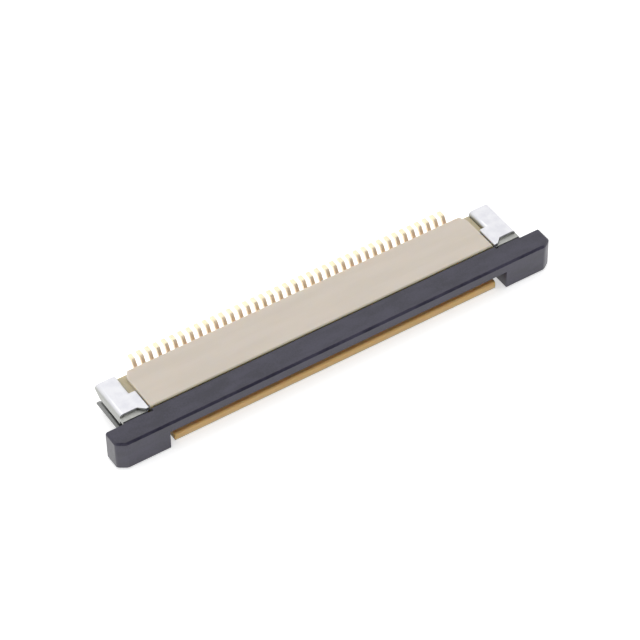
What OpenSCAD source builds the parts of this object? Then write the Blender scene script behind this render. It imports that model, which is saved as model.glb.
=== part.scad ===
// Surface-mount connector for a flat printed cable, with a slide lock.
// It lies with its solder side up, as it does on a bench before it is turned over and placed.
// X runs along the row of contacts, +Y from the cable entry to the solder feet, +Z out of the solder side.
// The origin is the centre of the footprint, on the plane of the cover face.
// Depths named *_y are measured back from the front of the closed slider.

/* [Row of contacts] */
// Number of contacts
positions = 40; // [20:2:50]
// Distance from one contact to the next
pitch = 0.5; // [0.5:0.1:1.0]
// Thickness of the sheet that the contacts are stamped from
contact_t = 0.2; // [0.15:0.01:0.22]
// Distance from the slider's front to the tips of the solder feet
foot_tip_y = 5.4; // [5.3:0.05:5.8]

/* [Housing] */
// Height of the housing, cover face to solder-side face
housing_h = 1.84; // [1.8:0.01:1.88]
// Front of the solder-side wall
wall_front_y = 1.55; // [1.5:0.01:1.65]
// Back of the housing
housing_back_y = 4.45; // [4.42:0.01:4.5]
// Housing beyond the last contact's middle at each end
end_margin = 0.95; // [0.9:0.01:1.0]
// Thickness of the cover wall that holds the contact beams
cover_t = 0.45; // [0.42:0.01:0.48]
// Thickness of the solder-side wall
solder_wall_t = 0.46; // [0.42:0.01:0.5]
// Front of the lip that guides the cable in
lip_front_y = 0.35; // [0.3:0.01:0.45]
// Lip beyond the last contact's middle at each end
lip_margin = 0.31; // [0.25:0.01:0.4]
// Cable mouth beyond the last contact's middle at each end
mouth_margin = 0.55; // [0.5:0.01:0.6]
// Wall that stops the cable
stop_y = 3.45; // [3.4:0.01:3.5]
// Width of the ledges that carry the hold-downs
end_block_w = 0.38; // [0.35:0.01:0.4]
// Height of the ledges that carry the hold-downs
end_block_h = 1.5; // [1.4:0.01:1.55]

/* [Slider] */
// Front-to-back depth of the bar between the ears
bar_d = 1.45; // [1.42:0.01:1.48]
// Height of the bar's front face
bar_h = 0.61; // [0.58:0.01:0.65]
// Front-to-back depth of the ears
ear_d = 1.28; // [1.2:0.01:1.3]
// Length of each ear along the row
ear_l = 3.04; // [2.9:0.01:3.2]
// Gap from the lip's end to the ear beside it
ear_gap = 0.45; // [0.4:0.01:0.5]
// Length of the bevel on the ear's outer front corner, along the row
ear_bevel_l = 0.5; // [0.3:0.01:0.6]
// Depth of that bevel
ear_bevel_d = 0.34; // [0.2:0.01:0.4]
// Bevel along the bar's front edge
edge_bevel = 0.12; // [0.06:0.01:0.16]
// Thickness of the tongue that presses the cable onto the contacts
tongue_t = 0.38; // [0.34:0.01:0.4]
// Tip of the tongue, with the slider closed
tongue_tip_y = 3.2; // [3.0:0.01:3.3]
// Width of the guide arms
arm_w = 0.72; // [0.65:0.01:0.73]
// Height of the guide arms
arm_h = 0.75; // [0.7:0.01:0.78]
// End of the guide arms, with the slider closed
arm_tip_y = 3.95; // [3.8:0.01:4.0]
// Travel from closed to open
stroke = 1.2; // [1.0:0.05:1.2]

/* [Hold-downs] */
// Height over the solder pads and feet
total_h = 1.9; // [1.9:0.01:1.94]
// Thickness of the hold-down sheet
sheet_t = 0.2; // [0.18:0.01:0.22]
// Outside radius of its bends
bend_r = 0.24; // [0.24:0.01:0.3]
// Overall width of the guide channel
channel_w = 1.28; // [1.27:0.01:1.35]
// Height of the channel's open side
side_h = 0.66; // [0.6:0.01:0.72]
// Height of the pad's outer edge, which is rolled over and down
roll_h = 0.62; // [0.5:0.01:0.65]
// Underside of the channel above the cover face
channel_z = 0.35; // [0.34:0.01:0.37]
// Back edge of the solder pad
pad_back_y = 4.42; // [4.4:0.01:4.45]

/* [Hidden] */
$fn = 48;

// Clearances: sliding, arm in its channel, contact in its slot, sheet on its seat, pad beside the housing.
// Then the overlap of joined shapes, and the ears' clearance over the cover face.
slide_gap = 0.05;
channel_gap = 0.08;
slot_gap = 0.01;
seat_gap = 0.02;
pad_gap = 0.09;
join = 0.02;
ear_lift = 0.04;

// Places along the row, from the middle outwards
row_half = (positions - 1) * pitch / 2;
housing_half = row_half + end_margin;
mouth_half = row_half + mouth_margin;
lip_half = row_half + lip_margin;
ear_inner = lip_half + ear_gap;
slider_half = ear_inner + ear_l;
channel_x = housing_half + end_block_w + seat_gap;
channel_outer = channel_x + channel_w;
arm_x = channel_x + sheet_t + channel_gap;

// Heights
mouth_top_z = housing_h - solder_wall_t;
bar_z = housing_h - bar_h;
tongue_top_z = mouth_top_z - slide_gap;
tongue_z = tongue_top_z - tongue_t;
arm_z = channel_z + sheet_t + channel_gap;
arm_top_z = arm_z + arm_h;
pad_z = total_h - sheet_t;
step_z = pad_z - sheet_t;

// Solder pad, outline points measured along the depth
pad_front_y = 1.87;
pad_tongue_front_y = wall_front_y;
spine_front_y = 2.95;
step_front_y = 1.52;
riser_d = 0.1;
step_inset = 0.1;
corner_cut = 0.5;
tongue_in = housing_half + pad_gap;
flat_in = channel_x + bend_r;
flat_out = channel_outer - bend_r;
roll_z = total_h - roll_h;
side_top_z = channel_z + side_h;

// Front of the ledges at the housing's ends
ledge_front_y = 1.75;

// Solder feet and contact beams
foot_t = 0.18;
foot_bend_y = 4.97;
exit_z = 1.16;
beam_t = 0.18;
beam_z = 0.17;
beam_tip_y = 0.85;
bump_y = 1.35;
bump_r = 0.14;
bump_top_z = tongue_z - 0.08;
base_front_y = stop_y + 0.1;
base_back_y = housing_back_y - 0.1;
slot_front_y = beam_tip_y - 0.13;
slot_floor_z = beam_z - 0.04;

// Stop nib on each guide arm, which meets the pad's step at the end of the travel
nib_d = 0.28;
nib_front_y = pad_front_y + riser_d + stroke;
nib_top_z = pad_z - channel_gap;

// Anchor that holds the channel in the end block
anchor_y = 3.2;
anchor_d = 0.6;
anchor_z = 0.8;
anchor_reach = 0.45;

front_y = -foot_tip_y / 2;

function contact_name(i) = str("contact_", i < 9 ? "0" : "", i + 1);
contact_names = [for (i = [0:positions - 1]) contact_name(i)];

// A box from its low corner to its high corner.
module block(low, high) {
    translate(low) cube(high - low);
}

// Draws a shape and its mirror image at the other end of the row.
module both_ends() {
    children();
    mirror([1, 0, 0]) children();
}

// Extrudes an outline drawn in depth and height along the row, centred on x = 0.
module along_row(length) {
    rotate([90, 0, 90]) linear_extrude(length, center = true) children();
}

// Extrudes an outline drawn in x and height from one depth to another.
module along_depth(from_y, to_y) {
    translate([0, to_y, 0]) rotate([90, 0, 0]) linear_extrude(to_y - from_y) children();
}

// Housing: one moulding, with the mouth, the contact slots and the hold-down seats cut out of it.
module housing() {
    color([0.83, 0.79, 0.74])
    translate([0, front_y, 0])
    difference() {
        union() {
            linear_extrude(housing_h) housing_plan();
            along_row(2 * lip_half) lip_profile();
            both_ends() end_block();
        }
        block([-mouth_half, lip_front_y - join, cover_t], [mouth_half, stop_y, mouth_top_z]);
        for (i = [0:positions - 1]) translate([(i * pitch) - row_half, 0, 0]) contact_slot();
        both_ends() anchor_seat();
    }
}

// Outline of the housing's body, with its back corners cut.
module housing_plan() {
    cut_l = 0.26;
    cut_d = 0.45;
    polygon([
        [-housing_half, wall_front_y],
        [housing_half, wall_front_y],
        [housing_half, housing_back_y - cut_d],
        [housing_half - cut_l, housing_back_y],
        [cut_l - housing_half, housing_back_y],
        [-housing_half, housing_back_y - cut_d],
    ]);
}

// Section of the lip, which is bevelled where the cable slides in.
module lip_profile() {
    lead_in = 0.08;
    polygon([
        [lip_front_y, 0],
        [wall_front_y + join, 0],
        [wall_front_y + join, cover_t],
        [lip_front_y + lead_in, cover_t],
        [lip_front_y, cover_t - lead_in],
    ]);
}

// Ledge on the housing's end that the hold-down is pressed into.
module end_block() {
    low = [mouth_half + join, ledge_front_y, 0];
    block(low, [housing_half + end_block_w, pad_back_y - seat_gap, end_block_h]);
}

// Room for one contact: a groove for its beam, and a slot through the back wall for its root.
module contact_slot() {
    width = contact_t + 2 * slot_gap;
    back = housing_back_y + join;
    block([-width / 2, slot_front_y, slot_floor_z], [width / 2, back, cover_t + join]);
    block([-width / 2, stop_y - join, slot_floor_z], [width / 2, back, mouth_top_z + join]);
}

// Pocket in the end block for the hold-down's anchor.
module anchor_seat() {
    low = [channel_x - anchor_reach - slot_gap, anchor_y - slot_gap, anchor_z - slot_gap];
    high = [channel_x, anchor_y + anchor_d + slot_gap, anchor_z + sheet_t + slot_gap];
    block(low, high);
}

// Slider: one moulding of bar, tongue, ears and guide arms.
module slider() {
    color([0.34, 0.33, 0.38])
    translate([0, front_y, 0]) {
        along_row(2 * max(ear_inner, housing_half) + 2 * join) bar_profile();
        along_row(2 * (mouth_half - 2 * slide_gap)) tongue_profile();
        both_ends() ear();
        both_ends() guide_arm();
    }
}

// Section of the bar, with a bevel along its front edge.
module bar_profile() {
    polygon([
        [0, bar_z],
        [bar_d, bar_z],
        [bar_d, housing_h],
        [edge_bevel, housing_h],
        [0, housing_h - edge_bevel],
    ]);
}

// Section of the tongue, which starts under the bar as a wedge that leads the cable in.
module tongue_profile() {
    wedge_front_y = 0.3;
    wedge_back_y = 0.9;
    tip_bevel = 0.16;
    polygon([
        [wedge_front_y, bar_z + join],
        [wedge_front_y, bar_z],
        [wedge_back_y, tongue_z],
        [tongue_tip_y - tip_bevel, tongue_z],
        [tongue_tip_y, tongue_z + tip_bevel],
        [tongue_tip_y, tongue_top_z],
        [bar_d - join, tongue_top_z],
        [bar_d - join, bar_z + join],
    ]);
}

// Ear that the slider is pulled by, with its outer corners bevelled.
module ear() {
    back_cut = 0.03;
    intersection() {
        translate([0, 0, ear_lift]) linear_extrude(housing_h - ear_lift) polygon([
            [ear_inner, 0],
            [slider_half - ear_bevel_l, 0],
            [slider_half, ear_bevel_d],
            [slider_half, ear_d - back_cut],
            [slider_half - back_cut, ear_d],
            [ear_inner, ear_d],
        ]);
        translate([slider_half, 0, 0]) along_row(4 * ear_l) ear_profile();
    }
}

// Side view of an ear, with its front edges bevelled.
module ear_profile() {
    polygon([
        [edge_bevel, ear_lift],
        [ear_d, ear_lift],
        [ear_d, housing_h],
        [edge_bevel, housing_h],
        [0, housing_h - edge_bevel],
        [0, ear_lift + edge_bevel],
    ]);
}

// Arm that runs back from the ear inside the hold-down's channel, with its shoulder and its stop nib.
module guide_arm() {
    tip_cut = 0.15;
    shoulder_back_y = step_front_y - slide_gap;
    block([arm_x, ear_d - join, arm_z], [channel_outer, shoulder_back_y, nib_top_z]);
    linear_extrude_z(arm_z, arm_top_z) polygon([
        [arm_x, ear_d - join],
        [arm_x + arm_w, ear_d - join],
        [arm_x + arm_w, arm_tip_y - tip_cut],
        [arm_x + arm_w - tip_cut, arm_tip_y],
        [arm_x + tip_cut, arm_tip_y],
        [arm_x, arm_tip_y - tip_cut],
    ]);
    low = [arm_x, nib_front_y, arm_top_z - join];
    block(low, [arm_x + arm_w, nib_front_y + nib_d, nib_top_z]);
}

// Extrudes a plan outline between two heights.
module linear_extrude_z(from_z, to_z) {
    translate([0, 0, from_z]) linear_extrude(to_z - from_z) children();
}

// Hold-down at the +X end: one stamped sheet folded into a solder pad and a guide channel.
module hold_down() {
    color([0.92, 0.92, 0.93])
    translate([0, front_y, 0]) {
        linear_extrude_z(pad_z, total_h) pad_plan();
        pad_step();
        along_depth(spine_front_y, pad_back_y) spine_section();
        difference() {
            union() {
                along_depth(pad_front_y, pad_back_y) rolled_edge();
                along_depth(pad_front_y + riser_d, pad_back_y) channel_section();
            }
            cut_corners();
        }
        anchor();
    }
}

// Outline of the solder pad: it reaches in to the housing at the front and is notched behind.
module pad_plan() {
    jog_l = 0.2;
    polygon([
        [tongue_in, pad_tongue_front_y],
        [tongue_in + jog_l, pad_tongue_front_y],
        [flat_in, pad_front_y],
        [flat_out + join, pad_front_y],
        [flat_out + join, pad_back_y],
        [flat_in - join, pad_back_y],
        [flat_in - join, spine_front_y],
        [tongue_in, spine_front_y],
    ]);
}

// Lip that steps down along the pad's front and passes before the ledge.
// A riser joins it to the pad.
module pad_step() {
    inner = channel_x + seat_gap;
    riser_back_y = pad_front_y + riser_d;
    linear_extrude_z(step_z, pad_z) polygon([
        [tongue_in + step_inset, step_front_y],
        [channel_outer, step_front_y],
        [channel_outer, riser_back_y],
        [inner, riser_back_y],
        [inner, ledge_front_y - slide_gap],
        [tongue_in + step_inset, ledge_front_y - slide_gap],
    ]);
    block([inner, pad_front_y, step_z], [flat_out + join, riser_back_y, total_h - join]);
}

// Cuts the back corners off the two free edges, which face each other over the open side.
module cut_corners() {
    low_y = pad_back_y - corner_cut;
    high_y = pad_back_y + join;
    reach = corner_cut + join;
    translate([channel_outer, 0, 0]) along_row(2 * bend_r) polygon([
        [low_y, side_top_z],
        [low_y, roll_z],
        [high_y, roll_z + reach],
        [high_y, side_top_z - reach],
    ]);
}

// Quarter ring of sheet, drawn in x and height. Its centre is given, and the way it faces.
module bend(centre, turn) {
    translate(centre) rotate(turn) intersection() {
        difference() {
            circle(bend_r);
            circle(bend_r - sheet_t);
        }
        square(bend_r);
    }
}

// Pad's outer edge, rolled over and down.
module rolled_edge() {
    bend([flat_out, total_h - bend_r], 0);
    translate([channel_outer - sheet_t, roll_z]) square([sheet_t, roll_h - bend_r + join]);
}

// Spine against the end block, with the bends into the pad and the channel's floor.
module spine_section() {
    bend([flat_in, total_h - bend_r], 90);
    bend([flat_in, channel_z + bend_r], 180);
    translate([channel_x, channel_z + bend_r - join])
        square([sheet_t, total_h - channel_z - 2 * bend_r + 2 * join]);
}

// Floor and open side of the channel.
module channel_section() {
    floor_l = flat_out - flat_in + 2 * join;
    translate([flat_in - join, channel_z]) square([floor_l, sheet_t]);
    bend([flat_out, channel_z + bend_r], 270);
    translate([channel_outer - sheet_t, channel_z + bend_r - join])
        square([sheet_t, side_h - bend_r + join]);
}

// Tab pushed into the end block.
module anchor() {
    low = [channel_x - anchor_reach, anchor_y, anchor_z];
    block(low, [channel_x + join, anchor_y + anchor_d, anchor_z + sheet_t]);
}

// Contact: one stamped blade, with a sprung beam, a root in the back wall and a solder foot.
module contact(i) {
    color([0.86, 0.76, 0.52])
    translate([i * pitch - row_half, front_y, 0]) {
        along_row(contact_t) beam_profile();
        along_row(contact_t) root_profile();
        along_row(contact_t) foot_profile();
    }
}

// Beam that rises from the root to the bump that touches the cable.
module beam_profile() {
    bump_z = bump_top_z - bump_r;
    nose_drop = 0.22;
    nose_t = 0.12;
    polygon([
        [base_front_y + join, beam_z],
        [base_front_y + join, beam_z + beam_t],
        [bump_y, bump_top_z],
        [bump_y - bump_r, bump_z],
        [beam_tip_y, bump_z - nose_drop + nose_t],
        [beam_tip_y, bump_z - nose_drop],
        [bump_y, bump_z - bump_r],
    ]);
    translate([bump_y, bump_z]) circle(bump_r);
}

// Root held in the slot through the back wall.
module root_profile() {
    translate([base_front_y, beam_z])
        square([base_back_y - base_front_y, mouth_top_z - beam_z]);
}

// Foot that leaves the back wall, climbs to the solder plane and lies flat on it.
module foot_profile() {
    climb_y = 4.66;
    slant = 0.1;
    tip_cut = 0.05;
    polygon([
        [base_back_y - join, exit_z],
        [climb_y + slant, exit_z],
        [foot_bend_y + slant, total_h - foot_t],
        [foot_tip_y, total_h - foot_t],
        [foot_tip_y, total_h - tip_cut],
        [foot_tip_y - tip_cut, total_h],
        [foot_bend_y, total_h],
        [climb_y, exit_z + foot_t],
        [base_back_y - join, exit_z + foot_t],
    ]);
}

housing();
slider();
mirror([1, 0, 0]) hold_down();  // hold_down_left
hold_down();  // hold_down_right
for (i = [0:positions - 1]) contact(i);
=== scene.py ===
"""Dresses the slide-lock cable connector: its moulded and stamped pieces, their finishes and the studio."""

import logging
import math
from dataclasses import dataclass, field
from enum import Enum
from typing import Callable, Iterable, Sequence

import bmesh
import bpy
from mathutils import Matrix, Vector


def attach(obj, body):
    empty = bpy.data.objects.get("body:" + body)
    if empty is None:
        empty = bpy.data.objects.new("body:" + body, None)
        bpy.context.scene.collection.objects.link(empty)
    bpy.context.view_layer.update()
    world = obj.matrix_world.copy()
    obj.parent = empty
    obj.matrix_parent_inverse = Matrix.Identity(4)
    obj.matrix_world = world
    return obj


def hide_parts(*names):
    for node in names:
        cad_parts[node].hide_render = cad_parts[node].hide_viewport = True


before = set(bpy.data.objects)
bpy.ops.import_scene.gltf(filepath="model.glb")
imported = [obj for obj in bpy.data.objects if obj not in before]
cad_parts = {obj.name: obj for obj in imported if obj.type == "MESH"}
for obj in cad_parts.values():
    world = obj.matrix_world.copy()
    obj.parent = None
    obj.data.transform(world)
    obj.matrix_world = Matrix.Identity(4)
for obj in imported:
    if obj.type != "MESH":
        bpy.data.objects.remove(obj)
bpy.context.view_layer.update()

MM = 0.001
FRONT_Y = -2.7
FINE = 1e-6

Point = tuple[float, float]
Colour = tuple[float, float, float]
PlaceTest = Callable[[Vector, Vector], bool]

log = logging.getLogger("connector")


class Facing(Enum):
    """Plane that an outline is drawn in, named by its two axes."""

    PLAN = "xy"
    SIDE = "yz"
    END = "xz"

    def place(self, u: float, v: float, height: float) -> Vector:
        """Turns outline coordinates, and a height over the plane, into a point."""
        return {
            Facing.PLAN: Vector((u, v, height)),
            Facing.SIDE: Vector((height, u, v)),
            Facing.END: Vector((u, height, v)),
        }[self]


class Side(Enum):
    """End of the row."""

    LEFT = -1
    RIGHT = 1


class Body(Enum):
    """Body that a piece rides on."""

    HOUSING = "housing_body"
    SLIDER = "slider_body"


def srgb(red: int, green: int, blue: int) -> Colour:
    """Turns a display colour into the linear values that a shader takes."""
    return tuple(
        c / 12.92 if c <= 0.04045 else ((c + 0.055) / 1.055) ** 2.4
        for c in (red / 255, green / 255, blue / 255)
    )


# ---------------------------------------------------------------- the bench


class Solid:
    """One mesh on the bench, modelled in millimetres with Blender's own operators."""

    def __init__(self, name: str, outline: Sequence[Point], facing: Facing, low: float, high: float) -> None:
        """Draws an outline as one face, and extrudes it between two heights.

        Args:
            name: Name of the piece.
            outline: Corners of the outline, in order.
            facing: Plane that the outline is drawn in.
            low: Height of the first face over that plane.
            high: Height of the far face. If it equals low, the face stays flat.
        """
        bpy.ops.object.select_all(action="DESELECT")
        bpy.ops.mesh.primitive_circle_add(vertices=len(outline), radius=1.0, fill_type="NGON")
        self.obj = bpy.context.object
        self.obj.name = name
        bpy.ops.object.mode_set(mode="EDIT")
        for index, (u, v) in enumerate(outline):
            self._move_corner(index, facing.place(u, v, low))
        if high != low:
            self.pick_faces(lambda centre, normal: True)
            self.extrude(facing.place(0, 0, high - low))
            self.face_outwards()
        bpy.ops.object.mode_set(mode="OBJECT")

    @classmethod
    def block(cls, name: str, low: Sequence[float], high: Sequence[float]) -> "Solid":
        """Makes a rectangular block from its low corner to its high corner."""
        corners = [(low[0], low[1]), (high[0], low[1]), (high[0], high[1]), (low[0], high[1])]
        return cls(name, corners, Facing.PLAN, low[2], high[2])

    def _move_corner(self, index: int, place: Vector) -> None:
        """Moves one corner of the first face to its place."""
        mesh = bmesh.from_edit_mesh(self.obj.data)
        mesh.verts.ensure_lookup_table()
        bpy.ops.mesh.select_mode(type="VERT")
        bpy.ops.mesh.select_all(action="DESELECT")
        mesh = bmesh.from_edit_mesh(self.obj.data)
        mesh.verts.ensure_lookup_table()
        mesh.verts[index].select_set(True)
        step = place - mesh.verts[index].co
        mesh.select_flush_mode()
        bmesh.update_edit_mesh(self.obj.data)
        bpy.ops.transform.translate(value=step)

    def edit(self) -> None:
        """Opens this piece, and nothing else, in edit mode."""
        if bpy.context.mode != "OBJECT":
            bpy.ops.object.mode_set(mode="OBJECT")
        bpy.ops.object.select_all(action="DESELECT")
        self.obj.select_set(True)
        bpy.context.view_layer.objects.active = self.obj
        bpy.ops.object.mode_set(mode="EDIT")

    def close(self) -> None:
        """Leaves edit mode."""
        bpy.ops.object.mode_set(mode="OBJECT")

    def _pick(self, kind: str, elements: str, test: Callable[[object], bool]) -> int:
        """Selects the elements of one kind that pass a test, and returns their number."""
        bpy.ops.mesh.select_mode(type=kind)
        bpy.ops.mesh.select_all(action="DESELECT")
        mesh = bmesh.from_edit_mesh(self.obj.data)
        mesh.normal_update()
        chosen = [e for e in getattr(mesh, elements) if test(e)]
        for element in chosen:
            element.select_set(True)
        mesh.select_flush_mode()
        bmesh.update_edit_mesh(self.obj.data)
        if not chosen:
            raise ValueError(f"{self.obj.name}: nothing was found to work on")
        return len(chosen)

    def pick_faces(self, test: PlaceTest) -> int:
        """Selects the faces whose middle and normal pass a test."""
        return self._pick("FACE", "faces", lambda f: test(f.calc_center_median(), f.normal))

    def pick_edges(self, test: PlaceTest) -> int:
        """Selects the edges whose two ends pass a test."""
        return self._pick("EDGE", "edges", lambda e: test(e.verts[0].co, e.verts[1].co))

    def pick_corners(self, test: Callable[[Vector], bool]) -> int:
        """Selects the corners whose place passes a test."""
        return self._pick("VERT", "verts", lambda v: test(v.co))

    def extrude(self, step: Sequence[float]) -> None:
        """Extrudes what is selected by a step."""
        bpy.ops.mesh.extrude_region_move(TRANSFORM_OT_translate={"value": Vector(step)})

    def shift(self, step: Sequence[float]) -> None:
        """Moves what is selected by a step."""
        bpy.ops.transform.translate(value=Vector(step))

    def bend(self, centre: Sequence[float], axis: Sequence[float], degrees: float, steps: int = 4) -> None:
        """Carries the selected edges round an axis, which leaves a bent strip behind them."""
        bpy.ops.mesh.spin(steps=steps, angle=math.radians(-degrees), center=centre, axis=axis)

    def bisect(self, place: Sequence[float], normal: Sequence[float]) -> None:
        """Cuts new edges into the whole piece where a plane crosses it."""
        bpy.ops.mesh.select_all(action="SELECT")
        bpy.ops.mesh.bisect(plane_co=place, plane_no=normal, threshold=FINE)

    def bevel(self, width: float, segments: int = 3, corners: bool = False) -> None:
        """Rounds the selected edges, or the selected corners of a flat outline."""
        bpy.ops.mesh.bevel(
            offset=width, segments=segments, affect="VERTICES" if corners else "EDGES", clamp_overlap=True
        )

    def join_flats(self) -> None:
        """Joins neighbouring faces that lie in one plane."""
        bpy.ops.mesh.select_all(action="SELECT")
        bpy.ops.mesh.dissolve_limited(angle_limit=math.radians(0.5))

    def face_outwards(self) -> None:
        """Turns every face of a closed piece outwards."""
        bpy.ops.mesh.select_all(action="SELECT")
        bpy.ops.mesh.normals_make_consistent(inside=False)

    def _apply(self, kind: str, **values: object) -> None:
        """Adds a modifier, sets its values and applies it."""
        bpy.ops.object.select_all(action="DESELECT")
        self.obj.select_set(True)
        bpy.context.view_layer.objects.active = self.obj
        modifier = self.obj.modifiers.new(kind.lower(), kind)
        for key, value in values.items():
            setattr(modifier, key, value)
        bpy.ops.object.modifier_apply(modifier=modifier.name)

    def merge(self, other: "Solid") -> None:
        """Joins another solid into this one."""
        self._apply("BOOLEAN", operation="UNION", solver="EXACT", object=other.obj)
        bpy.data.objects.remove(other.obj)

    def carve(self, other: "Solid") -> None:
        """Cuts another solid out of this one."""
        self._apply("BOOLEAN", operation="DIFFERENCE", solver="EXACT", object=other.obj)
        bpy.data.objects.remove(other.obj)

    def repeat(self, count: int, step: Sequence[float]) -> None:
        """Repeats the piece in a row."""
        self._apply(
            "ARRAY", count=count, use_relative_offset=False, use_constant_offset=True,
            constant_offset_displace=Vector(step),
        )

    def thicken(self, thickness: float) -> None:
        """Gives an open sheet its thickness, behind its faces."""
        self._apply("SOLIDIFY", thickness=thickness, offset=-1.0, use_even_offset=True)

    def soften(self, width: float, segments: int = 2, degrees: float = 40) -> None:
        """Rounds every sharp edge a little."""
        self._apply(
            "BEVEL", width=width, segments=segments, limit_method="ANGLE", angle_limit=math.radians(degrees)
        )

    def tidy_mesh(self) -> None:
        """Merges doubled corners and turns the faces outwards."""
        self.edit()
        bpy.ops.mesh.select_all(action="SELECT")
        bpy.ops.mesh.remove_doubles(threshold=1e-4)
        self.face_outwards()
        self.close()

    def mirrored(self, name: str) -> "Solid":
        """Returns a mirror image of the piece at the other end of the row."""
        other = self.copy(name)
        other.edit()
        bpy.ops.mesh.select_all(action="SELECT")
        bpy.ops.transform.resize(value=(-1, 1, 1), center_override=(0, 0, 0))
        other.face_outwards()
        other.close()
        return other

    def copy(self, name: str) -> "Solid":
        """Returns a copy of the piece, with a mesh of its own."""
        bpy.ops.object.select_all(action="DESELECT")
        self.obj.select_set(True)
        bpy.context.view_layer.objects.active = self.obj
        bpy.ops.object.duplicate(linked=False)
        other = object.__new__(Solid)
        other.obj = bpy.context.object
        other.obj.name = name
        other.obj.data.name = name
        return other

    def place(self, along: float = 0.0) -> None:
        """Brings the piece from the bench to its real size and place.

        Args:
            along: Distance to move it along the row, in millimetres.
        """
        bpy.ops.object.select_all(action="DESELECT")
        self.obj.select_set(True)
        bpy.context.view_layer.objects.active = self.obj
        self.obj.scale = (MM, MM, MM)
        self.obj.location = (along * MM, FRONT_Y * MM, 0)
        bpy.ops.object.transform_apply(location=True, rotation=True, scale=True)
        bpy.ops.object.shade_smooth_by_angle(angle=math.radians(32))
        self._apply("WEIGHTED_NORMAL", keep_sharp=True, weight=80)

    def dress(self, material: bpy.types.Material, node: str, body: Body, slot: str) -> None:
        """Gives the piece its finish and its body, and hides the CAD node that it stands for."""
        self.obj.data.materials.clear()
        self.obj.data.materials.append(material)
        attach(self.obj, body.value)
        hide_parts(node)
        log.info("%s: %d faces, stands for %s", self.obj.name, len(self.obj.data.polygons), node)


# ---------------------------------------------------------------- the finishes


class Sheet:
    """A node sheet: one material and short ways to add and join its nodes."""

    def __init__(self, name: str) -> None:
        """Starts a material with an empty sheet and a Principled shader."""
        self.material = bpy.data.materials.new(name)
        self.material.use_nodes = True
        self.nodes = self.material.node_tree.nodes
        self.links = self.material.node_tree.links
        self.nodes.clear()
        self.shader = self.nodes.new("ShaderNodeBsdfPrincipled")
        self.output = self.nodes.new("ShaderNodeOutputMaterial")
        self.links.new(self.shader.outputs["BSDF"], self.output.inputs["Surface"])
        self.coordinates = self.nodes.new("ShaderNodeTexCoord").outputs["Object"]

    def link(self, out: bpy.types.NodeSocket, into: bpy.types.NodeSocket) -> None:
        """Joins two sockets."""
        self.links.new(out, into)

    def stretched(self, scale: Sequence[float]) -> bpy.types.NodeSocket:
        """Object coordinates, multiplied along each axis."""
        node = self.nodes.new("ShaderNodeMapping")
        node.inputs["Scale"].default_value = scale
        self.link(self.coordinates, node.inputs["Vector"])
        return node.outputs["Vector"]

    def noise(
        self, scale: float, detail: float = 2.0, vector: bpy.types.NodeSocket | None = None
    ) -> bpy.types.NodeSocket:
        """A noise value over the piece; the scale is in features per metre."""
        node = self.nodes.new("ShaderNodeTexNoise")
        node.inputs["Scale"].default_value = scale
        node.inputs["Detail"].default_value = detail
        self.link(vector or self.coordinates, node.inputs["Vector"])
        return node.outputs["Fac"]

    def ramp(
        self, value: bpy.types.NodeSocket, low: float, high: float, to_low: float, to_high: float
    ) -> bpy.types.NodeSocket:
        """Maps a value from one range to another, with soft ends."""
        node = self.nodes.new("ShaderNodeMapRange")
        node.interpolation_type = "SMOOTHSTEP"
        for key, number in (("From Min", low), ("From Max", high), ("To Min", to_low), ("To Max", to_high)):
            node.inputs[key].default_value = number
        self.link(value, node.inputs["Value"])
        return node.outputs["Result"]

    def axis(self, name: str) -> bpy.types.NodeSocket:
        """One of the piece's own coordinates, in metres."""
        node = self.nodes.new("ShaderNodeSeparateXYZ")
        self.link(self.coordinates, node.inputs["Vector"])
        return node.outputs[name]

    def zone(
        self, place: bpy.types.NodeSocket, edges: Point, to_low: float, to_high: float
    ) -> bpy.types.NodeSocket:
        """Ramp between two places along an axis, given in millimetres."""
        return self.ramp(place, edges[0] * MM, edges[1] * MM, to_low, to_high)

    def math(
        self, operation: str, a: bpy.types.NodeSocket, b: bpy.types.NodeSocket | float | None = None
    ) -> bpy.types.NodeSocket:
        """One arithmetic step on two values."""
        node = self.nodes.new("ShaderNodeMath")
        node.operation = operation
        self.link(a, node.inputs[0])
        if isinstance(b, (int, float)):
            node.inputs[1].default_value = b
        elif b is not None:
            self.link(b, node.inputs[1])
        return node.outputs["Value"]

    def mix(self, factor: bpy.types.NodeSocket, a: object, b: object) -> bpy.types.NodeSocket:
        """Mixes two colours, which are values or sockets."""
        node = self.nodes.new("ShaderNodeMix")
        node.data_type = "RGBA"
        self.link(factor, node.inputs[0])
        for socket, colour in ((node.inputs[6], a), (node.inputs[7], b)):
            if isinstance(colour, bpy.types.NodeSocket):
                self.link(colour, socket)
            else:
                socket.default_value = (*colour, 1)
        return node.outputs[2]

    def bump(self, height: bpy.types.NodeSocket, distance: float, strength: float = 1.0) -> None:
        """Gives the surface a fine relief; the distance is its height in metres."""
        node = self.nodes.new("ShaderNodeBump")
        node.inputs["Strength"].default_value = strength
        node.inputs["Distance"].default_value = distance
        self.link(height, node.inputs["Height"])
        self.link(node.outputs["Normal"], self.shader.inputs["Normal"])

    def fixed(self, **values: float) -> None:
        """Sets values of the shader that are the same all over."""
        for key, value in values.items():
            self.shader.inputs[key.replace("_", " ")].default_value = value


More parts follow.
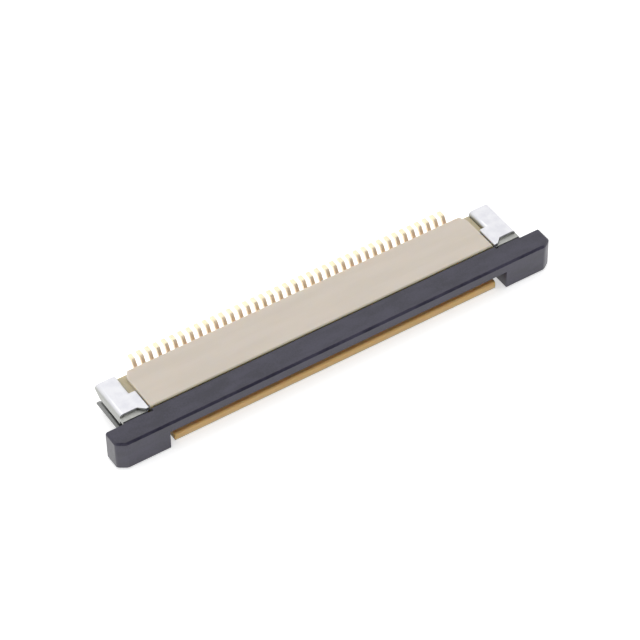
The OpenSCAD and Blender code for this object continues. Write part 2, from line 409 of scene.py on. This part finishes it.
@dataclass(frozen=True)
class HousingResin:
    """Pale beige resin, with light and shade painted in: painted amber glow and shade on the lip, a painted lighter
    bottom edge, painted shade on the low end ledges and a painted shade band along the front edge.
    """

    top: Colour = srgb(217, 207, 195)
    top_dark: Colour = srgb(213, 203, 190)
    # amber and amber_dark: painted amber on the lip, standing in for light let through the resin and for shade under
    # the slider
    amber: Colour = srgb(228, 188, 126)
    amber_dark: Colour = srgb(226, 190, 132)
    # rim: painted light, a lighter colour along the lip's bottom edge
    rim: Colour = srgb(218, 204, 176)
    # Painted shade: a darker tan on the low end ledges
    painted_ledge_shade: Colour = srgb(196, 184, 152)
    shade: Colour = srgb(158, 152, 128)
    roughness: tuple[float, float] = (0.42, 0.56)
    scatter: Colour = (1.0, 0.8, 0.55)
    painted_light_below: Point = (0.02, 0.16)
    ledge_below: Point = (1.60, 1.80)
    ledge_from_x: Point = (10.5, 10.68)
    lip_before: Point = (FRONT_Y + 1.40, FRONT_Y + 1.52)
    shade_before: Point = (FRONT_Y + 1.55, FRONT_Y + 1.72)

    def build(self) -> bpy.types.Material:
        """Builds the material."""
        sheet = Sheet("housing_resin")
        flow = sheet.noise(1.0, 3.0, sheet.stretched((260, 1500, 1500)))
        grain = sheet.noise(9000, 2.0)
        body = sheet.mix(sheet.ramp(flow, 0.3, 0.7, 0, 1), self.top, self.top_dark)
        depth, height = sheet.axis("Y"), sheet.axis("Z")
        # Painted light and shade on the lip: amber, with a little random tone from the grain
        painted_lip_light = sheet.mix(sheet.ramp(grain, 0.35, 0.65, 0, 0.5), self.amber, self.amber_dark)
        # Painted light: the lip turns lighter towards its bottom edge
        painted_lip_light = sheet.mix(sheet.zone(height, self.painted_light_below, 1, 0), painted_lip_light, self.rim)
        # Painted shade on the end ledges: below the top and out at the ends
        low = sheet.zone(height, self.ledge_below, 1, 0)
        end = sheet.zone(sheet.math("ABSOLUTE", sheet.axis("X")), self.ledge_from_x, 0, 1)
        body = sheet.mix(sheet.math("MULTIPLY", low, end), body, self.painted_ledge_shade)
        body = sheet.mix(sheet.zone(depth, self.shade_before, 1, 0), body, self.shade)
        # Mask of the lip in front of the front wall, which takes the painted amber light and shade
        lip = sheet.zone(depth, self.lip_before, 1, 0)
        sheet.link(sheet.mix(lip, body, painted_lip_light), sheet.shader.inputs["Base Color"])
        sheet.link(sheet.ramp(flow, 0.3, 0.7, *self.roughness), sheet.shader.inputs["Roughness"])
        sheet.bump(grain, 1.2e-6, 0.5)
        sheet.fixed(IOR=1.55, Subsurface_Weight=1.0, Subsurface_Scale=0.3 * MM)
        sheet.shader.inputs["Subsurface Radius"].default_value = self.scatter
        return sheet.material


@dataclass(frozen=True)
class SliderResin:
    """Dark grey resin with a blue cast, satin, with faint flow lines along the row, and the end faces painted lighter
    as a painted sheen.
    """

    deep: Colour = srgb(35, 32, 50)
    light: Colour = srgb(54, 51, 70)
    # Painted sheen: a lighter colour on the ears' end faces
    painted_end_sheen: Colour = srgb(84, 83, 90)
    roughness: tuple[float, float] = (0.31, 0.43)
    painted_sheen_from_x: Point = (13.525, 13.55)

    def build(self) -> bpy.types.Material:
        """Builds the material."""
        sheet = Sheet("slider_resin")
        flow = sheet.noise(1.0, 3.0, sheet.stretched((700, 1900, 1900)))
        grain = sheet.noise(11000, 2.0)
        mottle = sheet.math("ADD", sheet.math("MULTIPLY", flow, 0.6), sheet.math("MULTIPLY", grain, 0.4))
        body = sheet.mix(sheet.ramp(mottle, 0.35, 0.65, 0, 1), self.deep, self.light)
        # Painted sheen on the end faces, at the far ends of the row
        end = sheet.zone(sheet.math("ABSOLUTE", sheet.axis("X")), self.painted_sheen_from_x, 0, 1)
        sheet.link(sheet.mix(end, body, self.painted_end_sheen), sheet.shader.inputs["Base Color"])
        sheet.link(sheet.ramp(mottle, 0.35, 0.65, *self.roughness), sheet.shader.inputs["Roughness"])
        sheet.bump(grain, 1.5e-6, 0.6)
        sheet.fixed(IOR=1.62)
        return sheet.material


@dataclass(frozen=True)
class TinPlate:
    """Matt tin over a stamped sheet, with rolling marks along the pad; everything below the flat pad, except its
    inner edge, is painted with shade, darkest at the bottom.
    """

    bright: Colour = srgb(237, 237, 241)
    dull: Colour = srgb(226, 226, 232)
    # Painted shade: the bends and the channel below the pad are painted darker, and darker again at the bottom
    painted_bend_shade: Colour = srgb(178, 179, 175)
    painted_low_shade: Colour = srgb(124, 125, 123)
    roughness: tuple[float, float] = (0.30, 0.42)
    formed_rougher: float = 0.16
    flat_above: Point = (1.74, 1.885)
    deeper_shade_below: Point = (1.05, 1.25)
    inner_edge_x: Point = (10.90, 10.96)
    inner_edge_z: Point = (1.60, 1.66)

    def build(self) -> bpy.types.Material:
        """Builds the material."""
        sheet = Sheet("tin_plate")
        rolled = sheet.noise(1.0, 4.0, sheet.stretched((9000, 900, 9000)))
        cloud = sheet.noise(1600, 3.0)
        flat = sheet.mix(sheet.ramp(cloud, 0.35, 0.7, 0, 1), self.bright, self.dull)
        height = sheet.axis("Z")
        # Painted shade, darker towards the bottom of the sheet
        painted_bend_shade = sheet.mix(sheet.zone(height, self.deeper_shade_below, 0, 1), self.painted_low_shade, self.painted_bend_shade)
        # The pad's inner edge is kept out of the painted shade
        inner = sheet.zone(sheet.math("ABSOLUTE", sheet.axis("X")), self.inner_edge_x, 1, 0)
        inner = sheet.math("MULTIPLY", inner, sheet.zone(height, self.inner_edge_z, 0, 1))
        upper = sheet.math("MAXIMUM", inner, sheet.zone(height, self.flat_above, 0, 1))
        # Flat colour on the pad and its inner edge; painted shade everywhere else
        sheet.link(sheet.mix(upper, painted_bend_shade, flat), sheet.shader.inputs["Base Color"])
        marks = sheet.ramp(rolled, 0.3, 0.7, *self.roughness)
        rough = sheet.math("ADD", marks, sheet.zone(height, self.flat_above, self.formed_rougher, 0))
        sheet.link(rough, sheet.shader.inputs["Roughness"])
        sheet.bump(rolled, 1.2e-6, 0.5)
        sheet.fixed(Metallic=1.0)
        return sheet.material


@dataclass(frozen=True)
class ContactPlating:
    """Thin gold over a copper alloy: pale on the solder foot, with random darker spots; the bend and the slot are
    painted darker as painted shade.
    """

    pale: Colour = srgb(250, 243, 214)
    # Painted shade on the bend and in the slot, and random darker tone on the foot
    brown_shade_and_tone: Colour = srgb(246, 226, 200)
    roughness: tuple[float, float] = (0.46, 0.60)
    foot_from: Point = (FRONT_Y + 4.85, FRONT_Y + 5.15)

    def build(self) -> bpy.types.Material:
        """Builds the material."""
        sheet = Sheet("contact_plating")
        cloud = sheet.noise(2600, 3.0)
        # Painted shade mask: one off the foot, on the bend and in the slot
        foot = sheet.zone(sheet.axis("Y"), self.foot_from, 1, 0)
        painted_shade_and_tone = sheet.math("MAXIMUM", foot, sheet.ramp(cloud, 0.55, 0.8, 0, 0.5))
        sheet.link(sheet.mix(painted_shade_and_tone, self.pale, self.brown_shade_and_tone), sheet.shader.inputs["Base Color"])
        sheet.link(sheet.ramp(cloud, 0.3, 0.7, *self.roughness), sheet.shader.inputs["Roughness"])
        sheet.bump(cloud, 1.0e-6, 0.4)
        sheet.fixed(Metallic=1.0)
        return sheet.material


# ---------------------------------------------------------------- the sub-assemblies


def near(a: float, b: float, room: float = 1e-3) -> bool:
    """True if two measures are the same, within a small room."""
    return abs(a - b) < room


@dataclass
class Housing:
    """The beige moulding, from the lip to the slots that hold the contacts."""

    half: float = 10.70
    front_y: float = 1.55
    back_y: float = 4.45
    height: float = 1.84
    corner_cut: Point = (0.26, 0.45)
    lip_half: float = 10.06
    lip_front_y: float = 0.35
    lip_height: float = 0.45
    mouth_half: float = 10.30
    mouth_top_z: float = 1.38
    stop_y: float = 3.45
    block_outer: float = 11.08
    block_depth: Point = (1.75, 4.40)
    block_height: float = 1.50
    ledge_front_y: float = 2.99
    ledge_height: float = 1.64
    positions: int = 40
    pitch: float = 0.5
    slot_half: float = 0.11
    slot_front_y: float = 0.72
    slot_floor_z: float = 0.13
    anchor_low: Vector = field(default_factory=lambda: Vector((10.64, 3.19, 0.79)))
    anchor_high: Vector = field(default_factory=lambda: Vector((11.10, 3.81, 1.01)))
    edge: float = 0.045

    def build(self) -> Solid:
        """Builds the moulding.

        Returns:
            The finished solid, at its place.
        """
        cut_l, cut_d = self.corner_cut
        body = Solid("housing_moulding", [
            (-self.half, self.front_y), (self.half, self.front_y),
            (self.half, self.back_y - cut_d), (self.half - cut_l, self.back_y),
            (cut_l - self.half, self.back_y), (-self.half, self.back_y - cut_d),
        ], Facing.PLAN, 0, self.height)
        body.edit()
        body.pick_edges(lambda a, b: near(a.z, self.height) and near(b.z, self.height) or not near(a.z, b.z))
        body.bevel(self.edge)
        body.close()
        body.merge(self._lip())
        for side in Side:
            body.merge(self._end_block(side))
        body.carve(Solid.block(
            "mouth", (-self.mouth_half, self.lip_front_y - 0.1, self.lip_height),
            (self.mouth_half, self.stop_y, self.mouth_top_z)
        ))
        body.carve(self._slots(self.slot_front_y, self.lip_height + 0.02))
        body.carve(self._slots(self.stop_y - 0.02, self.mouth_top_z + 0.02))
        for side in Side:
            body.carve(self._anchor_seat(side))
        body.place()
        return body

    def _lip(self) -> Solid:
        """Lip under the cable, with its lead-in bevel."""
        lead = 0.08
        lip = Solid("lip", [
            (self.lip_front_y, 0), (self.front_y + 0.05, 0), (self.front_y + 0.05, self.lip_height),
            (self.lip_front_y + lead, self.lip_height), (self.lip_front_y, self.lip_height - lead),
        ], Facing.SIDE, -self.lip_half, self.lip_half)
        lip.edit()
        lip.pick_edges(lambda a, b: a.y < self.front_y - 0.1 and b.y < self.front_y - 0.1)
        lip.bevel(0.03, 2)
        lip.close()
        return lip

    def _end_block(self, side: Side) -> Solid:
        """Ledge on one end, which carries the hold-down."""
        inner, outer = sorted((side.value * (self.mouth_half + 0.02), side.value * self.block_outer))
        front, back = self.block_depth
        block = Solid.block("end_block", (inner, front, 0), (outer, back, self.block_height))
        block.edit()
        block.bisect((0, self.ledge_front_y, 0), (0, 1, 0))
        block.pick_faces(lambda c, n: n.z > 0.9 and c.y > self.ledge_front_y)
        block.extrude((0, 0, self.ledge_height - self.block_height))
        block.face_outwards()
        block.join_flats()
        rim = side.value * self.block_outer
        block.pick_edges(
            lambda a, b: max(a.z, b.z) > 0.01 and (
                near(a.x, rim) and near(b.x, rim) or near(a.z, b.z) and near(a.y, back) and near(b.y, back)
            )
        )
        block.bevel(self.edge, 2)
        block.close()
        return block

    def _slots(self, from_y: float, top_z: float) -> Solid:
        """Row of cutters for the contacts' slots, out through the back wall."""
        start = -(self.positions - 1) * self.pitch / 2
        slots = Solid.block(
            "slots", (start - self.slot_half, from_y, self.slot_floor_z),
            (start + self.slot_half, self.back_y + 0.1, top_z)
        )
        slots.repeat(self.positions, (self.pitch, 0, 0))
        return slots

    def _anchor_seat(self, side: Side) -> Solid:
        """Pocket for the hold-down's anchor."""
        low, high = self.anchor_low.copy(), self.anchor_high.copy()
        if side is Side.LEFT:
            low.x, high.x = -high.x, -low.x
        return Solid.block("anchor_seat", low, high)


@dataclass
class Slider:
    """The dark moulding: bar, ears, tongue and guide arms."""

    half: float = 13.55
    height: float = 1.84
    bar_depth: float = 1.45
    bar_half: float = 10.72
    bar_z: float = 1.23
    ear_inner: float = 10.51
    ear_depth: float = 1.28
    ear_z: float = 0.04
    ear_bevel: Point = (0.50, 0.34)
    ear_back_cut: float = 0.03
    tongue_half: float = 10.20
    arm_x: Point = (11.38, 12.10)
    arm_z: Point = (0.63, 1.38)
    arm_tip_y: float = 3.95
    nib_y: Point = (3.28, 3.46)
    nib_z: float = 1.62
    shoulder_x: Point = (10.95, 12.37)
    shoulder_y: float = 1.48
    shoulder_z: float = 1.68
    edge: float = 0.05

    def build(self) -> Solid:
        """Builds the moulding.

        Returns:
            The finished solid, at its place.
        """
        slider = Solid("slider_moulding", self._plan(), Facing.PLAN, self.height, self.bar_z)
        slider.edit()
        for side in Side:
            slider.bisect((side.value * self.ear_inner, 0, 0), (1, 0, 0))
        slider.bisect((0, self.ear_depth, 0), (0, 1, 0))
        slider.pick_faces(lambda c, n: n.z < -0.9 and abs(c.x) > self.ear_inner and c.y < self.ear_depth)
        slider.extrude((0, 0, self.ear_z - self.bar_z))
        slider.face_outwards()
        slider.join_flats()
        self._round(slider)
        slider.close()
        slider.merge(self._tongue())
        for side in Side:
            for part in self._arm(side):
                slider.merge(part)
        slider.place()
        return slider

    def _plan(self) -> list[Point]:
        """Outline of the bar and both ears, seen from above."""
        length, depth = self.ear_bevel
        right = [
            (self.half - length, 0), (self.half, depth), (self.half, self.ear_depth), (self.bar_half, self.ear_depth),
            (self.bar_half, self.bar_depth),
        ]
        return right + [(-x, y) for x, y in reversed(right)]

    def _round(self, slider: Solid) -> None:
        """Rounds the outer edges, and bevels the front ones."""
        outer = self.half - self.ear_bevel[0] - 0.01
        slider.pick_edges(
            lambda a, b: near(a.x, b.x) and near(a.y, b.y) and abs(a.x) > outer and a.y < self.ear_bevel[1] + 0.01
        )
        slider.bevel(0.11, 3)
        slider.pick_edges(lambda a, b: self._on_top(a, b) and self._front(a, b))
        slider.bevel(0.11, 1)
        slider.pick_edges(lambda a, b: near(a.z, self.ear_z) and near(b.z, self.ear_z))
        slider.bevel(0.07, 2)
        slider.pick_edges(lambda a, b: self._on_top(a, b) and not self._front(a, b))
        slider.bevel(self.edge, 2)
        slider.pick_edges(
            lambda a, b: all(near(p.y, self.ear_depth) and abs(p.x) > self.half - 0.01 for p in (a, b))
        )
        slider.bevel(self.ear_back_cut, 2)

    def _on_top(self, a: Vector, b: Vector) -> bool:
        """True for an edge of the top face."""
        return near(a.z, self.height) and near(b.z, self.height)

    def _front(self, a: Vector, b: Vector) -> bool:
        """True for an edge at the front, on the bevelled corners or at an end."""
        at_end = min(abs(a.x), abs(b.x)) > self.half - 0.01
        return at_end or max(a.y, b.y) < self.ear_bevel[1] + 0.15 and not near(a.x, b.x, 0.004)

    def _tongue(self) -> Solid:
        """Tongue that presses the cable down, with the wedge under the bar."""
        top, low = 1.33, 0.95
        return Solid("tongue", [
            (0.30, self.bar_z + 0.05), (0.30, self.bar_z), (0.90, low), (3.04, low),
            (3.20, low + 0.16), (3.20, top), (self.bar_depth - 0.02, top), (self.bar_depth - 0.02, self.bar_z + 0.05),
        ], Facing.SIDE, -self.tongue_half, self.tongue_half)

    def _arm(self, side: Side) -> list[Solid]:
        """Guide arm of one end, its shoulder and the nib that stops it."""
        (inner, outer), (low, top), cut = self.arm_x, self.arm_z, 0.15
        plan = [
            (inner, self.ear_depth - 0.1), (outer, self.ear_depth - 0.1), (outer, self.arm_tip_y - cut),
            (outer - cut, self.arm_tip_y), (inner + cut, self.arm_tip_y), (inner, self.arm_tip_y - cut),
        ]
        arm = Solid("guide_arm", [(side.value * x, y) for x, y in plan], Facing.PLAN, low, top)
        first, last = sorted((side.value * inner, side.value * outer))
        nib = Solid.block("nib", (first, self.nib_y[0], top - 0.1), (last, self.nib_y[1], self.nib_z))
        first, last = sorted(side.value * x for x in self.shoulder_x)
        shoulder = Solid.block(
            "shoulder", (first, self.ear_depth - 0.1, low), (last, self.shoulder_y, self.shoulder_z)
        )
        return [arm, nib, shoulder]


@dataclass
class HoldDown:
    """The plated sheet at one end, folded into a solder pad and a guide channel."""

    top_z: float = 1.90
    sheet: float = 0.20
    bend_r: float = 0.24
    channel_x: float = 11.10
    outer_x: float = 12.38
    channel_z: float = 0.35
    side_top_z: float = 1.01
    roll_z: float = 1.28
    tongue_in: float = 10.79
    tongue_front_y: float = 1.55
    jog: float = 0.20
    pad_front_y: float = 1.87
    pad_back_y: float = 4.42
    corner_cut: float = 0.50
    spine_front_y: float = 2.95
    channel_front_y: float = 1.97
    step_front_y: float = 1.52
    step_in: float = 10.89
    step_back_y: float = 1.70
    anchor_low: tuple[float, float, float] = (10.65, 3.2, 0.8)
    anchor_high: tuple[float, float, float] = (11.20, 3.8, 1.0)

    def build(self) -> dict[Side, Solid]:
        """Builds the hold-down and its mirror image.

        Returns:
            The two solids by their side, at their places.
        """
        right = self._pad()
        right.edit()
        self._roll_outer_edge(right)
        self._fold_channel(right)
        self._step_front(right)
        bpy.ops.mesh.select_all(action="SELECT")
        bpy.ops.mesh.remove_doubles(threshold=1e-4)
        self._face_pad_up(right)
        right.close()
        right.thicken(self.sheet)
        right.tidy_mesh()
        right.edit()
        right.pick_edges(
            lambda a, b: all(near(p.x, self.tongue_in, 0.01) and near(p.z, self.top_z, 0.01) for p in (a, b))
        )
        right.bevel(0.09, 3)
        right.pick_corners(
            lambda p: near(p.y, self.channel_front_y, 0.01)
            and near(p.z, self.side_top_z, 0.01) and p.x > self.flat[1]
        )
        right.shift((0, 0, -0.10))
        right.close()
        right.soften(0.022, 2)
        right.merge(Solid.block("anchor", self.anchor_low, self.anchor_high))
        right.obj.name = "hold_down_plate_right"
        left = right.mirrored("hold_down_plate_left")
        for plate in (right, left):
            plate.place()
        return {Side.RIGHT: right, Side.LEFT: left}

    @property
    def flat(self) -> Point:
        """Where the pad's flat begins and ends along the row."""
        return self.channel_x + self.bend_r, self.outer_x - self.bend_r

    def _pad(self) -> Solid:
        """The flat of the pad, with its tongue, jog and notch."""
        flat_in, flat_out = self.flat
        return Solid("hold_down_plate_right", [
            (self.tongue_in, self.tongue_front_y), (self.tongue_in + self.jog, self.tongue_front_y),
            (flat_in, self.pad_front_y), (flat_out, self.pad_front_y), (flat_out, self.pad_back_y),
            (flat_in, self.pad_back_y), (flat_in, self.spine_front_y), (self.tongue_in, self.spine_front_y),
        ], Facing.PLAN, self.top_z, self.top_z)

    def _roll_outer_edge(self, plate: Solid) -> None:
        """Rolls the pad's outer edge over and down."""
        flat_out = self.flat[1]
        plate.pick_edges(lambda a, b: near(a.x, flat_out) and near(b.x, flat_out))
        plate.bend((flat_out, 0, self.top_z - self.bend_r), (0, 1, 0), 90, 5)
        plate.pick_edges(lambda a, b: near(a.x, self.outer_x) and near(b.x, self.outer_x))
        self._lengthen_with_cut(plate, self.roll_z - (self.top_z - self.bend_r))

    def _fold_channel(self, plate: Solid) -> None:
        """Folds the spine down, and the channel's floor and open side from it."""
        flat_in, flat_out = self.flat
        low = self.channel_z + self.bend_r
        plate.pick_edges(
            lambda a, b: near(a.x, flat_in) and near(b.x, flat_in) and min(a.y, b.y) > self.spine_front_y - 0.01
        )
        plate.bend((flat_in, 0, self.top_z - self.bend_r), (0, 1, 0), -90, 5)
        plate.pick_edges(lambda a, b: near(a.x, self.channel_x) and near(b.x, self.channel_x) and near(a.z, b.z))
        plate.extrude((0, 0, low - (self.top_z - self.bend_r)))
        plate.pick_edges(lambda a, b: all(near(p.z, low) and near(p.x, self.channel_x) for p in (a, b)))
        plate.bend((flat_in, 0, low), (0, 1, 0), -90, 5)
        plate.pick_edges(lambda a, b: near(a.z, self.channel_z) and near(b.z, self.channel_z) and near(a.x, b.x))
        plate.extrude((flat_out - flat_in, 0, 0))
        plate.pick_edges(lambda a, b: all(near(p.z, self.channel_z) and near(p.x, flat_out) for p in (a, b)))
        plate.bend((flat_out, 0, low), (0, 1, 0), -90, 5)
        plate.pick_edges(lambda a, b: all(near(p.x, self.outer_x) and near(p.z, low) for p in (a, b)))
        self._lengthen_with_cut(plate, self.side_top_z - low)
        plate.pick_edges(
            lambda a, b: near(a.y, self.spine_front_y) and near(b.y, self.spine_front_y)
            and max(a.z, b.z) < self.side_top_z + 0.01 and min(a.x, b.x) > flat_in - 0.01
        )
        plate.extrude((0, self.channel_front_y - self.spine_front_y, 0))

    def _lengthen_with_cut(self, plate: Solid, rise: float) -> None:
        """Lengthens a free edge up or down, and draws its back corner in.

        Args:
            plate: The sheet, with the edge selected.
            rise: How far the edge goes up, or down if it is negative.
        """
        plate.extrude((0, 0, rise))
        mesh = bmesh.from_edit_mesh(plate.obj.data)
        rim = [v.co.z for v in mesh.verts if v.select]
        plate.pick_corners(lambda p: near(p.y, self.pad_back_y) and near(p.x, self.outer_x) and near(p.z, rim[0]))
        plate.shift((0, -self.corner_cut, 0))

    def _step_front(self, plate: Solid) -> None:
        """Steps the pad's front edge down by the sheet's thickness, and out to a lip with a wider front."""
        flat_in, flat_out = self.flat
        low = self.top_z - self.sheet
        plate.pick_edges(lambda a, b: all(near(p.y, self.pad_front_y) and near(p.z, self.top_z) for p in (a, b)))
        plate.extrude((0, 0, -self.sheet))
        plate.extrude((0, self.step_front_y - self.pad_front_y, 0))
        plate.pick_edges(lambda a, b: all(near(p.x, flat_out) and near(p.z, low) for p in (a, b)))
        plate.extrude((self.bend_r, 0, 0))
        plate.pick_edges(lambda a, b: all(near(p.x, flat_in) and near(p.z, low) for p in (a, b)))
        plate.extrude((self.step_in - flat_in, 0, 0))
        plate.pick_corners(lambda p: near(p.x, self.step_in) and near(p.y, self.pad_front_y))
        plate.shift((0, self.step_back_y - self.pad_front_y, 0))

    def _face_pad_up(self, plate: Solid) -> None:
        """Turns the sheet so that the pad's outer face looks up."""
        plate.face_outwards()
        mesh = bmesh.from_edit_mesh(plate.obj.data)
        pad = max(mesh.faces, key=lambda f: f.calc_area() if near(f.calc_center_median().z, self.top_z) else 0)
        if pad.normal.z < 0:
            bpy.ops.mesh.select_all(action="SELECT")
            bpy.ops.mesh.flip_normals()


@dataclass
class Contacts:
    """The row of stamped blades, one modelled and the rest copied from it."""

    positions: int = 40
    pitch: float = 0.5
    thickness: float = 0.20
    bump: Point = (1.35, 0.73)
    bump_r: float = 0.14
    foot_top_z: float = 1.90
    foot_tip_y: float = 5.40

    def build(self) -> list[Solid]:
        """Builds every contact.

        Returns:
            The contacts in order, at their places.
        """
        first = Solid("contact_blade", self._outline(), Facing.SIDE, 0, 0)
        first.edit()
        first.pick_corners(self._is_foot_bend)
        first.bevel(0.10, 3, corners=True)
        first.pick_faces(lambda c, n: True)
        first.shift((-self.thickness / 2, 0, 0))
        first.extrude((self.thickness, 0, 0))
        first.face_outwards()
        first.close()
        row = []
        for index in range(self.positions):
            blade = first.copy(f"contact_blade_{index + 1:02d}")
            blade.place(along=(index - (self.positions - 1) / 2) * self.pitch)
            row.append(blade)
        bpy.data.objects.remove(first.obj)
        return row

    def _is_foot_bend(self, corner: Vector) -> bool:
        """True for the four corners where the foot is bent."""
        return 4.6 < corner.y < 5.1

    def _outline(self) -> list[Point]:
        """Outline of the blade, seen from the side."""
        y, z = self.bump
        crown = [
            (y - self.bump_r * math.cos(math.radians(a)), z + self.bump_r * math.sin(math.radians(a)))
            for a in (0, 30, 60, 90)
        ]
        return [
            (3.55, 0.17), (y, z - self.bump_r), (0.85, z - 0.22), (0.85, z - 0.10), *crown,
            (3.55, 0.35), (3.55, 1.38), (4.35, 1.38), (4.35, 1.34), (4.66, 1.34), (4.97, self.foot_top_z),
            (self.foot_tip_y - 0.05, self.foot_top_z), (self.foot_tip_y, self.foot_top_z - 0.05),
            (self.foot_tip_y, self.foot_top_z - 0.18), (5.07, self.foot_top_z - 0.18), (4.76, 1.16),
            (4.35, 1.16), (4.35, 0.17),
        ]


# ---------------------------------------------------------------- the studio


@dataclass
class Studio:
    """Camera, floor, world and lamps."""

    azimuth: float = -32.2341
    elevation: float = 45.2968
    roll: float = -1.0
    distance: float = 149.729
    aim: tuple[float, float, float] = (-0.064, -0.598, 1.726)
    lens: float = 160.19
    floor_half: float = 0.7
    floor_grey: float = 0.86
    floor_glow: float = 0.53
    dark_patches: tuple[tuple[tuple[float, float, float], float, float], ...] = (
        ((0.36, -0.70, 0.61), 0.84, 0.0), ((-0.07, -0.72, 0.69), 0.91, 0.25), ((-0.49, -0.55, 0.68), 0.90, 0.1),
    )

    def build(self) -> None:
        """Sets the whole studio up."""
        self._camera()
        self._floor()
        self._world()
        self._lamps()
        bpy.context.scene.view_settings.view_transform = "Standard"

    def _camera(self) -> None:
        """Creates the camera, aimed at the middle of the connector."""
        a, e, r = (math.radians(v) for v in (self.azimuth, self.elevation, self.roll))
        back = Vector((math.sin(a) * math.cos(e), -math.cos(a) * math.cos(e), math.sin(e)))
        right = Vector((math.cos(a), math.sin(a), 0))
        up = back.cross(right)
        right, up = math.cos(r) * right + math.sin(r) * up, math.cos(r) * up - math.sin(r) * right
        camera = bpy.data.objects.new("studio_camera", bpy.data.cameras.new("studio_camera"))
        bpy.context.scene.collection.objects.link(camera)
        camera.matrix_world = self._matrix(right, up, back, (Vector(self.aim) + back * self.distance) * MM)
        camera.data.sensor_width, camera.data.lens = 36.0, self.lens
        camera.data.clip_start, camera.data.clip_end = 0.005, 5.0
        bpy.context.scene.camera = camera

    @staticmethod
    def _matrix(right: Vector, up: Vector, back: Vector, place: Vector) -> Matrix:
        """Matrix from three axes and a place."""
        rows = [(right[i], up[i], back[i], place[i]) for i in range(3)]
        return Matrix((*rows, (0, 0, 0, 1)))

    def _floor(self) -> None:
        """White floor that keeps the connector's shadow."""
        bpy.ops.object.select_all(action="DESELECT")
        bpy.ops.mesh.primitive_plane_add(size=2 * self.floor_half, location=(0, 0, -2e-5))
        floor = bpy.context.object
        floor.name = "studio_floor"
        sheet = Sheet("studio_floor")
        sheet.fixed(Roughness=0.9)
        sheet.shader.inputs["Base Color"].default_value = (*[self.floor_grey] * 3, 1)
        seen = self._seen(sheet.nodes, sheet.links)
        sheet.link(sheet.math("MULTIPLY", seen, self.floor_glow), sheet.shader.inputs["Emission Strength"])
        sheet.shader.inputs["Emission Color"].default_value = (1, 1, 1, 1)
        floor.data.materials.append(sheet.material)

    @staticmethod
    def _seen(nodes: bpy.types.Nodes, links: bpy.types.NodeLinks) -> bpy.types.NodeSocket:
        """One for the rays that show the background itself, nought for those that only light the object."""
        path = nodes.new("ShaderNodeLightPath")
        total = path.outputs["Is Camera Ray"]
        for name in ("Is Glossy Ray", "Is Transmission Ray"):
            node = nodes.new("ShaderNodeMath")
            node.operation = "MAXIMUM"
            links.new(total, node.inputs[0])
            links.new(path.outputs[name], node.inputs[1])
            total = node.outputs["Value"]
        return total

    def _world(self) -> None:
        """White surroundings with a few soft dark patches, which the bevels mirror."""
        world = bpy.data.worlds.new("studio_world")
        bpy.context.scene.world = world
        world.use_nodes = True
        nodes, links = world.node_tree.nodes, world.node_tree.links
        nodes.clear()
        direction = nodes.new("ShaderNodeTexCoord").outputs["Generated"]
        total = None
        for towards, edge, level in self.dark_patches:
            dot = nodes.new("ShaderNodeVectorMath")
            dot.operation = "DOT_PRODUCT"
            dot.inputs[1].default_value = towards
            links.new(direction, dot.inputs[0])
            fall = nodes.new("ShaderNodeMapRange")
            fall.interpolation_type = "SMOOTHSTEP"
            for key, number in (("From Min", edge), ("From Max", 0.97), ("To Min", 1.0), ("To Max", level)):
                fall.inputs[key].default_value = number
            links.new(dot.outputs["Value"], fall.inputs["Value"])
            darkest = nodes.new("ShaderNodeMath")
            darkest.operation = "MINIMUM"
            darkest.inputs[1].default_value = 1.0
            links.new(fall.outputs["Result"], darkest.inputs[0])
            if total is not None:
                links.new(total, darkest.inputs[1])
            total = darkest.outputs["Value"]
        path = nodes.new("ShaderNodeLightPath")
        white = nodes.new("ShaderNodeMath")
        white.operation = "MAXIMUM"
        links.new(total, white.inputs[0])
        links.new(path.outputs["Is Camera Ray"], white.inputs[1])
        background = nodes.new("ShaderNodeBackground")
        background.inputs["Color"].default_value = (1, 1, 1, 1)
        links.new(white.outputs["Value"], background.inputs["Strength"])
        output = nodes.new("ShaderNodeOutputWorld")
        links.new(background.outputs["Background"], output.inputs["Surface"])

    def _lamps(self) -> None:
        """Two soft lamps: one overhead, one low in front."""
        for name, place, size, watts in (
            ("lamp_over", (0.02, 0.02, 0.38), 0.30, 0.19),
            ("lamp_front", (-0.10, -0.36, 0.09), 0.18, 0.19),
        ):
            light = bpy.data.lights.new(name, "AREA")
            light.shape, light.size, light.energy = "SQUARE", size, watts
            lamp = bpy.data.objects.new(name, light)
            lamp.location = place
            lamp.rotation_mode = "QUATERNION"
            lamp.rotation_quaternion = (-Vector(place)).to_track_quat("-Z", "Y")
            bpy.context.scene.collection.objects.link(lamp)


def main() -> None:
    """Builds the connector and its studio, piece by piece."""
    logging.basicConfig(level=logging.INFO, format="%(name)s %(message)s")
    Studio().build()
    housing = Housing().build()
    housing.dress(HousingResin().build(), "housing", Body.HOUSING, "housing_resin")
    slider = Slider().build()
    slider.dress(SliderResin().build(), "slider", Body.SLIDER, "slider_resin")
    tin = TinPlate().build()
    for side, plate in HoldDown().build().items():
        plate.dress(tin, f"hold_down_{side.name.lower()}", Body.HOUSING, "tin_plate")
    plating = ContactPlating().build()
    for number, blade in enumerate(Contacts().build(), start=1):
        blade.dress(plating, f"contact_{number:02d}", Body.HOUSING, "contact_plating")


if __name__ == "__main__":
    main()
